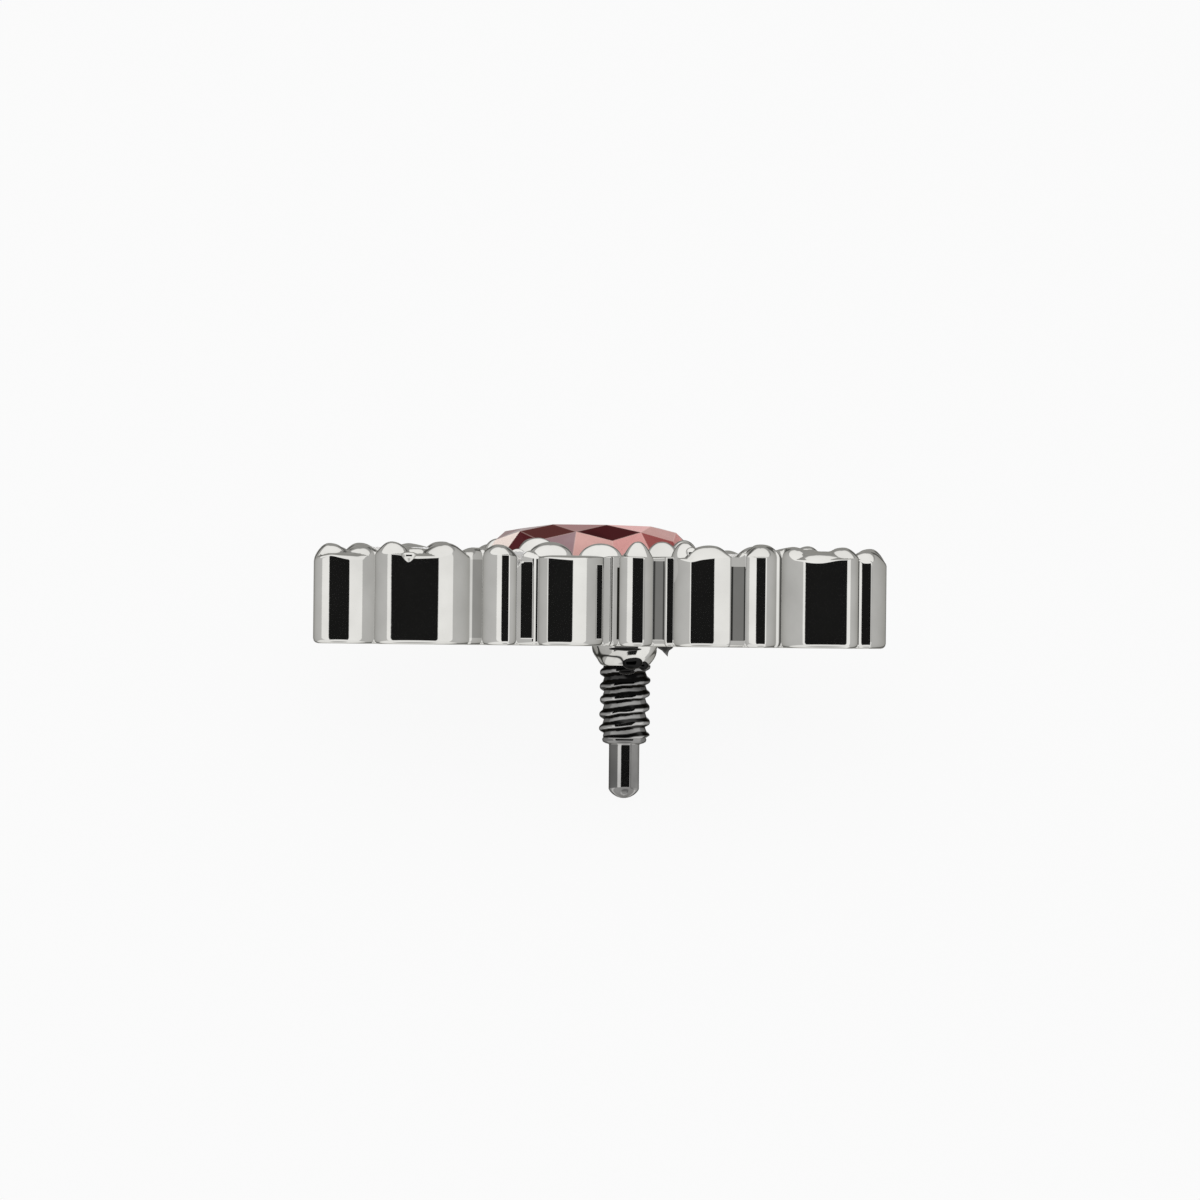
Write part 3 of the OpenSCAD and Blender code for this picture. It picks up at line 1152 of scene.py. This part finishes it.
# One side of the guide tip, with the middle of its columns and the profile of the collar above it
GUIDE_TIP = Lobe("guide tip", 0.0, (
    (610.5, 612.5, -88, -60), (612.5, 619, -52, -33), (619, 622.8, -30.5, -25), (622.8, 631.9, -23, 24),
    (631.9, 638.9, 49.5, 55), (638.9, 640.9, 60, 88)))
TIP_COLUMN = 625.7
COLLAR = ((0.372, 0.03), (0.392, 0.008), (0.40, -0.02), (0.385, -0.06), (0.34, -0.085))

# Painted shade and painted dark reflections of the guide tip's side where it faces between two angles in
# degrees
TIP_PAINTED_SHADE = ((-181, -26, 0.60), (21, 26, 0.66), (26, 181, 0.28))

# Radius and height of the solder joint
SOLDER_JOINT = ((0.0, 0.03), (0.60, 0.03), (0.595, 0.0), (0.58, -0.05), (0.563, -0.11), (0.54, -0.17),
                (0.51, -0.23), (0.478, -0.28), (0.445, -0.325), (0.40, -0.35), (0.34, -0.36), (0.0, -0.36))
# Lumps round the solder joint: how proud they are, how many in a turn, where they start, and their drift
SOLDER_WAVES = ((0.018, 3, 0.6, 0), (0.02, 5, -1.1, 4), (0.012, 9, 0, 7))

# Radius and height of the burr beside the joint
BURR = ((0, 0.02), (0.13, 0.02), (0.10, -0.03), (0.05, -0.07), (0.03, -0.11), (0.012, -0.15), (0, -0.18))

# Height of the thread's ridge, and painted shade and painted dark reflections on its flanks, from one crest
# to the next
RIDGE = ((0, 1), (0.07, 0.99), (0.14, 0.93), (0.21, 0.76), (0.28, 0.42), (0.33, 0.10),
         (0.38, 0), (0.70, 0.33), (0.77, 0.64), (0.85, 0.88), (0.93, 0.98), (1, 1))
PAINTED_THREAD_SHADE = ((0, 0.3), (0.04, 0.06), (0.17, 0.06), (0.21, 1), (0.38, 1), (0.43, 0.52),
         (0.64, 0.45), (0.69, 1), (0.94, 1), (1, 0.3))


@dataclass
class Post:
    """The post under the plate: solder joint, uneven rolled thread, collar and plain guide tip."""

    view: ViewPoint
    place: tuple = (0.355, -0.50)
    thread_top: float = -0.28
    thread_len: float = 1.38
    thread_turn: float = 0.30
    thread_row: float = 0.0125
    pitch: float = 0.25
    root_r: float = 0.372
    crest_r: float = 0.452
    sides: int = 144
    tip_r: float = 0.268
    tip_foot: float = -2.57
    tip_end: float = -2.73
    tip_slope: float = 0.035
    # Painted shade and painted reflections: a grey collar, and on the rounded end a grey band within a faint
    # tone.
    collar_painted_shade: float = 0.50
    cap_lean: float = 0.13
    cap_band: tuple = (0.58, 0.95)
    cap_painted_shade: float = 0.08
    cap_band_painted_shade: float = 0.50
    burr_at: tuple = (0.965, -1.05)

    def thread_tree(self) -> bpy.types.NodeTree:
        """Builds the Geometry Nodes tree that winds an uneven ridge round a sleeve and stores its painted
        shade and painted dark reflections.

        Returns:
            The tree.
        """
        graph = Graph(bpy.data.node_groups.new("rolled_thread", "GeometryNodeTree"))
        given = graph.group_inputs({"Pitch": 0.25, "Root": 0.37, "Crest": 0.45, "Length": 1.3, "Start": 0.0,
                                    "Fade": 0.06, "Unevenness": 0.03, "Seed": 1.0})
        x, y, z = graph.add("ShaderNodeSeparateXYZ", {0: graph.add("GeometryNodeInputPosition")}).outputs
        turn = graph.sum("DIVIDE", graph.sum("ARCTAN2", y, x), 2 * math.pi)
        noise = graph.noise(2.4, 2.0, W=given["Seed"])
        sway = graph.sum("MULTIPLY", graph.sum("SUBTRACT", noise, 0.5), given["Unevenness"])
        climbed = graph.sum("DIVIDE", graph.sum("ADD", z, sway), given["Pitch"])
        below = graph.sum("FRACT", graph.sum("SUBTRACT", graph.sum("ADD", turn, given["Start"]), climbed))
        near_end = graph.sum("MINIMUM", z, graph.sum("SUBTRACT", given["Length"], z))
        fade = graph.add("ShaderNodeClamp", {0: graph.sum("DIVIDE", near_end, given["Fade"])})
        swell = graph.sum("MULTIPLY", graph.sum("MULTIPLY_ADD", noise, 0.7, 0.65),
                          graph.sum("MULTIPLY", graph.bend(below, RIDGE), fade))
        proud = graph.sum("SUBTRACT", given["Crest"], given["Root"])
        radius = graph.sum("MULTIPLY_ADD", swell, proud, given["Root"])
        angle = graph.sum("MULTIPLY", turn, 2 * math.pi)
        place = graph.add("ShaderNodeCombineXYZ", {
            0: graph.sum("MULTIPLY", graph.sum("COSINE", angle), radius),
            1: graph.sum("MULTIPLY", graph.sum("SINE", angle), radius), 2: z})
        # Painted shade and painted dark reflections across each turn of the ridge, painted shade growing
        # towards the plate, and random streaks.
        streaky = graph.remap(noise, 0.35, 0.65, -0.06, 0.16)
        painted_shade_near_plate = graph.remap(z, 0.70, 1.05, 0.0, 0.38)
        painted_ridge_shade = graph.sum("ADD", graph.bend(below, PAINTED_THREAD_SHADE), painted_shade_near_plate)
        painted_shade = graph.add("ShaderNodeClamp", {0: graph.sum("ADD", painted_ridge_shade, streaky)})
        kept = graph.add("GeometryNodeStoreNamedAttribute", {
            0: given["Mesh"], "Name": "painted_shade", "Value": painted_shade}, data_type="FLOAT", domain="POINT")
        moved = graph.add("GeometryNodeSetPosition", {0: kept, "Position": place})
        real = graph.add("GeometryNodeRealizeInstances", {0: moved})
        return graph.group_result(real, Finish.POST.material)

    def thread(self) -> Shell:
        """Builds the threaded sleeve, placed round the post's axis.

        Returns:
            The thread.
        """
        sides = self.sides
        rows = np.linspace(0, self.thread_len, int(self.thread_len / self.thread_row))
        turns = np.arange(sides) * 2 * math.pi / sides
        sleeve = [(self.root_r * math.cos(t), self.root_r * math.sin(t), z) for z in rows for t in turns]
        last = len(sleeve) - sides
        faces = [tuple(reversed(range(sides))), tuple(range(last, len(sleeve)))]
        for below in range(0, last, sides):
            faces += band(below, below + sides, sides)
        seed = bpy.data.meshes.new("thread_seed")
        seed.from_pydata(sleeve, [], faces)
        sizes = {"Pitch": self.pitch, "Root": self.root_r, "Crest": self.crest_r, "Length": self.thread_len,
                 "Start": self.thread_turn, "Unevenness": 0.09, "Seed": 4.0}
        ridge = grown(seed, self.thread_tree(), sizes)
        ridge.corners += [*self.place, self.thread_top - self.thread_len]
        return ridge

    def tip_ring(self) -> np.ndarray:
        """Lays out the guide tip's outline, whose polish is slightly flattened on the way round.

        Returns:
            Rows of place across the view and depth, from the tip's axis.
        """
        front = GUIDE_TIP.points()
        front -= [along(TIP_COLUMN), (front[0, 1] + front[-1, 1]) / 2]
        ring = evened(np.vstack([front[:-1], -front[:-1], front[:1]]), self.sides)
        return smoothed(ring, 0.5)

    def tip(self) -> Shell:
        """Builds the collar and the guide tip with its rounded end, with painted shade and painted
        reflections on the collar, the sides and the rounded end.

        Returns:
            The closed shell.
        """
        sides, foot = self.sides, self.thread_top - self.thread_len
        drop = self.tip_foot - self.tip_end
        ball = (self.tip_r ** 2 + drop ** 2) / (2 * drop)
        polar = np.linspace(math.asin(self.tip_r / ball), 0, 14)[1:-1]
        rows = [(radius / self.tip_r, foot + height) for radius, height in COLLAR]
        rows += [(1.04, foot - 0.10), (1.0, foot - 0.115), (1.0, foot - 0.16), (1.0, self.tip_foot + 0.08),
                 (1.0, self.tip_foot + 0.004), (0.985, self.tip_foot - 0.004)]
        rows += [(ball * math.sin(a) / self.tip_r, self.tip_end + ball * (1 - math.cos(a))) for a in polar]
        ring = self.tip_ring()
        u, v = ring.T
        away, facing = np.hypot(u, v), np.degrees(np.arctan2(u, v))
        # Painted shade and painted dark reflections on the sides, by the way each faces.
        side_painted_shade = sum(painted_shade * ((facing > low) & (facing <= high)) for low, high, painted_shade in TIP_PAINTED_SHADE)
        corners, painted_shades = [], []
        for number, (size, height) in enumerate(rows):
            blend = np.clip((size - 1.02) / 0.2, 0, 1)
            across, depth = size * (ring * (1 - blend) + ring * blend * self.tip_r / away[:, None]).T
            spots = np.outer(across, self.view.across) + np.outer(depth, self.view.towards)
            spots += [*self.place, height]
            if height < self.tip_foot + 0.01:
                spots[:, 2] += self.tip_slope * size * np.maximum(0.0, v / self.tip_r)
            # The grey band on the rounded end is a painted reflection.
            lean = math.asin(min(1.0, size * self.tip_r / ball)) + self.cap_lean * v / self.tip_r
            dip = np.sin(2 * lean) * v / away
            banded = (dip > self.cap_band[0]) & (dip < self.cap_band[1])
            cap_painted_shade = np.where(banded, self.cap_band_painted_shade, self.cap_painted_shade)
            below = side_painted_shade if height > self.tip_foot else cap_painted_shade
            corners.append(spots)
            painted_shades.append(np.full(sides, self.collar_painted_shade) if number < len(COLLAR) else below)
        last = (len(rows) - 1) * sides
        faces = [tuple(range(sides))]
        for above in range(0, last, sides):
            faces += band(above + sides, above, sides)
        faces += fan(last, last + sides, sides)
        corners.append([(*self.place, self.tip_end)])
        painted_shades.append([self.cap_painted_shade])
        return Shell(np.vstack(corners), faces, np.concatenate(painted_shades))

    def solder(self) -> Shell:
        """Builds the lumpy solder joint.

        Returns:
            The joint.
        """
        joint = revolved(SOLDER_JOINT, 72, self.place)
        offset = joint.corners[:, :2] - self.place
        turn = np.arctan2(offset[:, 1], offset[:, 0])
        depth = np.clip(-joint.corners[:, 2] / 0.32, 0, 1)
        lumps = sum(proud * np.sin(count * turn + start + drift * depth)
                    for proud, count, start, drift in SOLDER_WAVES)
        swell = 1 + lumps * (0.4 + 3.6 * depth * (1 - depth))
        joint.corners[:, :2] = self.place + offset * swell[:, None]
        return joint

    def burr(self) -> Shell:
        """Builds the small burr beside the joint, which leans to the right further down, painted near-black
        and lighter towards its tip as painted shade and dark reflection.

        Returns:
            The burr.
        """
        burr = revolved(BURR, 16, self.burr_at)
        low = np.clip(burr.corners[:, 2] / BURR[-1][1], 0, 1)
        burr.corners[:, 0] += 0.05 * low ** 2 + (burr.corners[:, 0] - self.burr_at[0]) * 0.3
        # Painted near-black, lighter towards the tip: painted shade and painted dark reflection.
        burr.painted_shade[:] = 0.97 - 0.25 * low
        return burr

    def build(self, pose: RestPose) -> None:
        """Builds the pieces of the post.

        Args:
            pose: How the top lies.
        """
        lumps = [lump.ball(self.view) for lump in SOLDER_LUMPS]
        dress("solder_joint", self.solder(), Finish.SOLDER, "setting", pose)
        dress("solder_burr", self.burr(), Finish.POST, "setting", pose)
        # The lumps and the wedge are painted near-black: painted shade and painted dark reflections.
        Beads("solder_lumps_painted_dark", Finish.POST, lumps, 0.05, 0.98).build(pose)
        dress("guide_tip", self.tip(), Finish.POST, "setting", pose)
        dress("post_thread", self.thread(), Finish.POST, "setting", pose)


# What the metal mirrors round the view, as degrees to the right of the camera's side and a grey
ROOM = ((-180, 0.50), (-166, 0.50), (-164, 0.16), (-152, 0.16), (-150, 0.50), (-64, 0.59), (-62, 1.0),
        (-48.5, 1.0), (-47.7, 0.011), (47.7, 0.011), (48.5, 1.0), (97, 1.0), (99, 0.58), (150, 0.56),
        (152, 0.16), (164, 0.16), (166, 0.50), (180, 0.50))


# Bands of the room by height, from 0 straight below to 1 straight above: height, and a grey or a share
HAZE = ((0.625, 0.0), (0.64, 1.0))
SKY = ((0.625, 0.0), (0.645, 1.0))
GROUND_SHARE = ((0.30, 1.0), (0.315, 0.0))
GROUND = ((0.10, 0.50), (0.14, 0.95))


@dataclass(frozen=True)
class Studio:
    """Pale floor, soft light and the photograph's camera."""

    view: ViewPoint
    reach: float = 1.5
    pale: float = 0.03
    glow: float = 0.925
    light: float = 1.12
    haze: float = 0.40
    haze_drop: float = 0.16
    sky: float = 1.05
    sky_drop: float = 0.80
    lamp_at: tuple = (-0.02, -0.01, 0.06)
    lamp_size: float = 0.05
    lamp_power: float = 0.006
    lens: float = 1000.0
    sensor: float = 36.0
    frame_mm: float = 21.6
    aim: tuple = (-0.004, 0.828)

    def floor(self) -> None:
        """Lays the plain pale floor under the top."""
        mesh = bpy.data.meshes.new("floor")
        corners = [(x * self.reach, y * self.reach, 0) for x, y in ((-1, -1), (1, -1), (1, 1), (-1, 1))]
        mesh.from_pydata(corners, [], [(0, 1, 2, 3)])
        made = bpy.data.materials.new("pale_floor")
        graph = Graph(made)
        body = graph.add("ShaderNodeBsdfDiffuse", {"Color": grey(self.pale)})
        glow = graph.add("ShaderNodeEmission", {"Color": grey(1.0), "Strength": self.glow})
        graph.add("ShaderNodeOutputMaterial", {0: graph.add("ShaderNodeAddShader", {0: body, 1: glow})})
        mesh.materials.append(made)
        linked("floor", mesh)

    def room(self) -> None:
        """Makes the room: even pale light, and the cards and flags that the metal mirrors."""
        world = bpy.data.worlds.new("studio")
        bpy.context.scene.world = world
        graph = Graph(world)
        way = graph.add("ShaderNodeTexCoord").outputs["Generated"]
        axes = self.view.axes()
        right, up, near = (graph.vectors("DOT_PRODUCT", {0: way, 1: axis}).outputs[1] for axis in axes)
        turned = graph.sum("MULTIPLY_ADD", graph.sum("ARCTAN2", right, near), 1 / (2 * math.pi), 0.5)
        rise = graph.sum("MULTIPLY_ADD", graph.sum("ARCSINE", up), 1 / math.pi, 0.5)
        level = graph.steps(turned, [(degrees / 360 + 0.5, shine) for degrees, shine in ROOM])
        behind = graph.sum("ABSOLUTE", graph.sum("SUBTRACT", turned, 0.5))
        far_off = graph.sum("MAXIMUM", graph.sum("SUBTRACT", behind, 0.25), 0.0)
        haze_at = graph.sum("SUBTRACT", rise, graph.sum("MULTIPLY", behind, self.haze_drop))
        sky_at = graph.sum("SUBTRACT", rise, graph.sum("MULTIPLY", far_off, self.sky_drop))
        cards = graph.mix(graph.steps(haze_at, HAZE), level, grey(self.haze))
        cards = graph.mix(graph.steps(sky_at, SKY), cards, grey(self.sky))
        cards = graph.mix(graph.steps(rise, GROUND_SHARE), cards, graph.steps(rise, GROUND))
        mirrored = graph.add("ShaderNodeLightPath").outputs["Is Glossy Ray"]
        light = graph.add("ShaderNodeBackground", {
            "Color": graph.mix(mirrored, grey(1.0), cards), "Strength": self.light})
        graph.add("ShaderNodeOutputWorld", {0: light})

    def lamp(self) -> None:
        """Hangs one soft lamp above, which only casts a faint shadow."""
        data = bpy.data.lights.new("soft_lamp", "AREA")
        data.shape = "DISK"
        data.size = self.lamp_size
        data.energy = self.lamp_power
        lamp = linked("soft_lamp", data)
        lamp.location = self.lamp_at
        lamp.rotation_euler = (-lamp.location).to_track_quat("-Z", "Y").to_euler()

    def camera(self) -> None:
        """Sets up the camera at the photograph's angle, far off with a long lens."""
        across, up, towards = self.view.axes()
        roll_cos, roll_sin = math.cos(self.view.roll), math.sin(self.view.roll)
        data = bpy.data.cameras.new("photo_camera")
        data.lens = self.lens
        data.sensor_width = self.sensor
        data.clip_start = 0.01
        data.clip_end = 20.0
        centre = Vector(self.view.pose.placed(np.zeros((1, 3)))[0])
        target = centre + (across * self.aim[0] + up * self.aim[1]) * MM
        distance = self.frame_mm * self.lens / self.sensor * MM
        right, high = across * roll_cos + up * roll_sin, up * roll_cos - across * roll_sin
        turn = Matrix((right, high, towards)).transposed()
        camera = linked("photo_camera", data)
        camera.matrix_world = Matrix.Translation(target + towards * distance) @ turn.to_4x4()
        bpy.context.scene.camera = camera

    def build(self) -> None:
        """Sets up the whole studio."""
        self.floor()
        self.room()
        self.lamp()
        self.camera()
        bpy.context.scene.view_settings.view_transform = "Standard"
        log.info("studio ready")


# Places and widths of the clear stones, and the cuts of all
END_PLACE = 3.64
END_WIDTH = 2.1
ACCENT_PLACE = (2.05, 2.02)
ACCENT_WIDTH = 0.86
END_CUT = Cut(1.74, 1.68, 1.60, 1.46, 1.43, 0.58)
ACCENT_CUT = Cut(1.68, 1.65, 1.61, 1.54, 1.52, 1.12)
RED_STONE = Brilliant("centre_stone", (-0.19, 0.0), 3.9, Cut(2.18, 2.05, 1.89, 1.60, 1.54, 0.26), Finish.RED,
                      RED_COLOURS_AND_PAINTED_LIGHT, table_drop=(0.0, 0.02, 0.05, 0.02, 0.0, 0.05, 0.075, 0.0))


def clear_stones() -> list[Brilliant]:
    """Lists the clear stones: one at each end, then the accent stones at the left and at the right.

    Returns:
        The six stones with their places and cuts.
    """
    rows = []
    for name, side in (("end_stone_left", -1), ("end_stone_right", 1)):
        rows.append(Brilliant(name, (side * END_PLACE, 0.0), END_WIDTH, END_CUT, Finish.CLEAR, CLEAR_COLOURS_AND_PAINTED_LIGHT))
    for number, (side, depth) in enumerate(((-1, 1), (-1, -1), (1, 1), (1, -1)), 1):
        place = (side * ACCENT_PLACE[0], depth * ACCENT_PLACE[1])
        rows.append(Brilliant(f"accent_stone_{number}", place, ACCENT_WIDTH, ACCENT_CUT, Finish.CLEAR,
                              CLEAR_COLOURS_AND_PAINTED_LIGHT))
    return rows


def main() -> None:
    """Builds the top in order, then the studio."""
    logging.basicConfig(level=logging.INFO, format="%(relativeCreated)d ms %(message)s")
    pose = RestPose()
    view = ViewPoint(pose)
    stones = (RED_STONE, *clear_stones())
    dress("scalloped_wall", Wall(view, stones).build(), Finish.POLISHED, "setting", pose)
    beads = [bead.ball(view, side) for bead in FRONT_BEADS for side in (1, -1)]
    prongs = RedStoneProngs(RED_STONE.place)
    Beads("beads_and_prongs", Finish.POLISHED, beads + prongs.balls()).build(pose)
    dress("rim_drip", rim_drip(view), Finish.POLISHED, "setting", pose)
    Post(view).build(pose)
    for stone in stones:
        stone.build(pose)
    Studio(view).build()


if __name__ == "__main__":
    main()
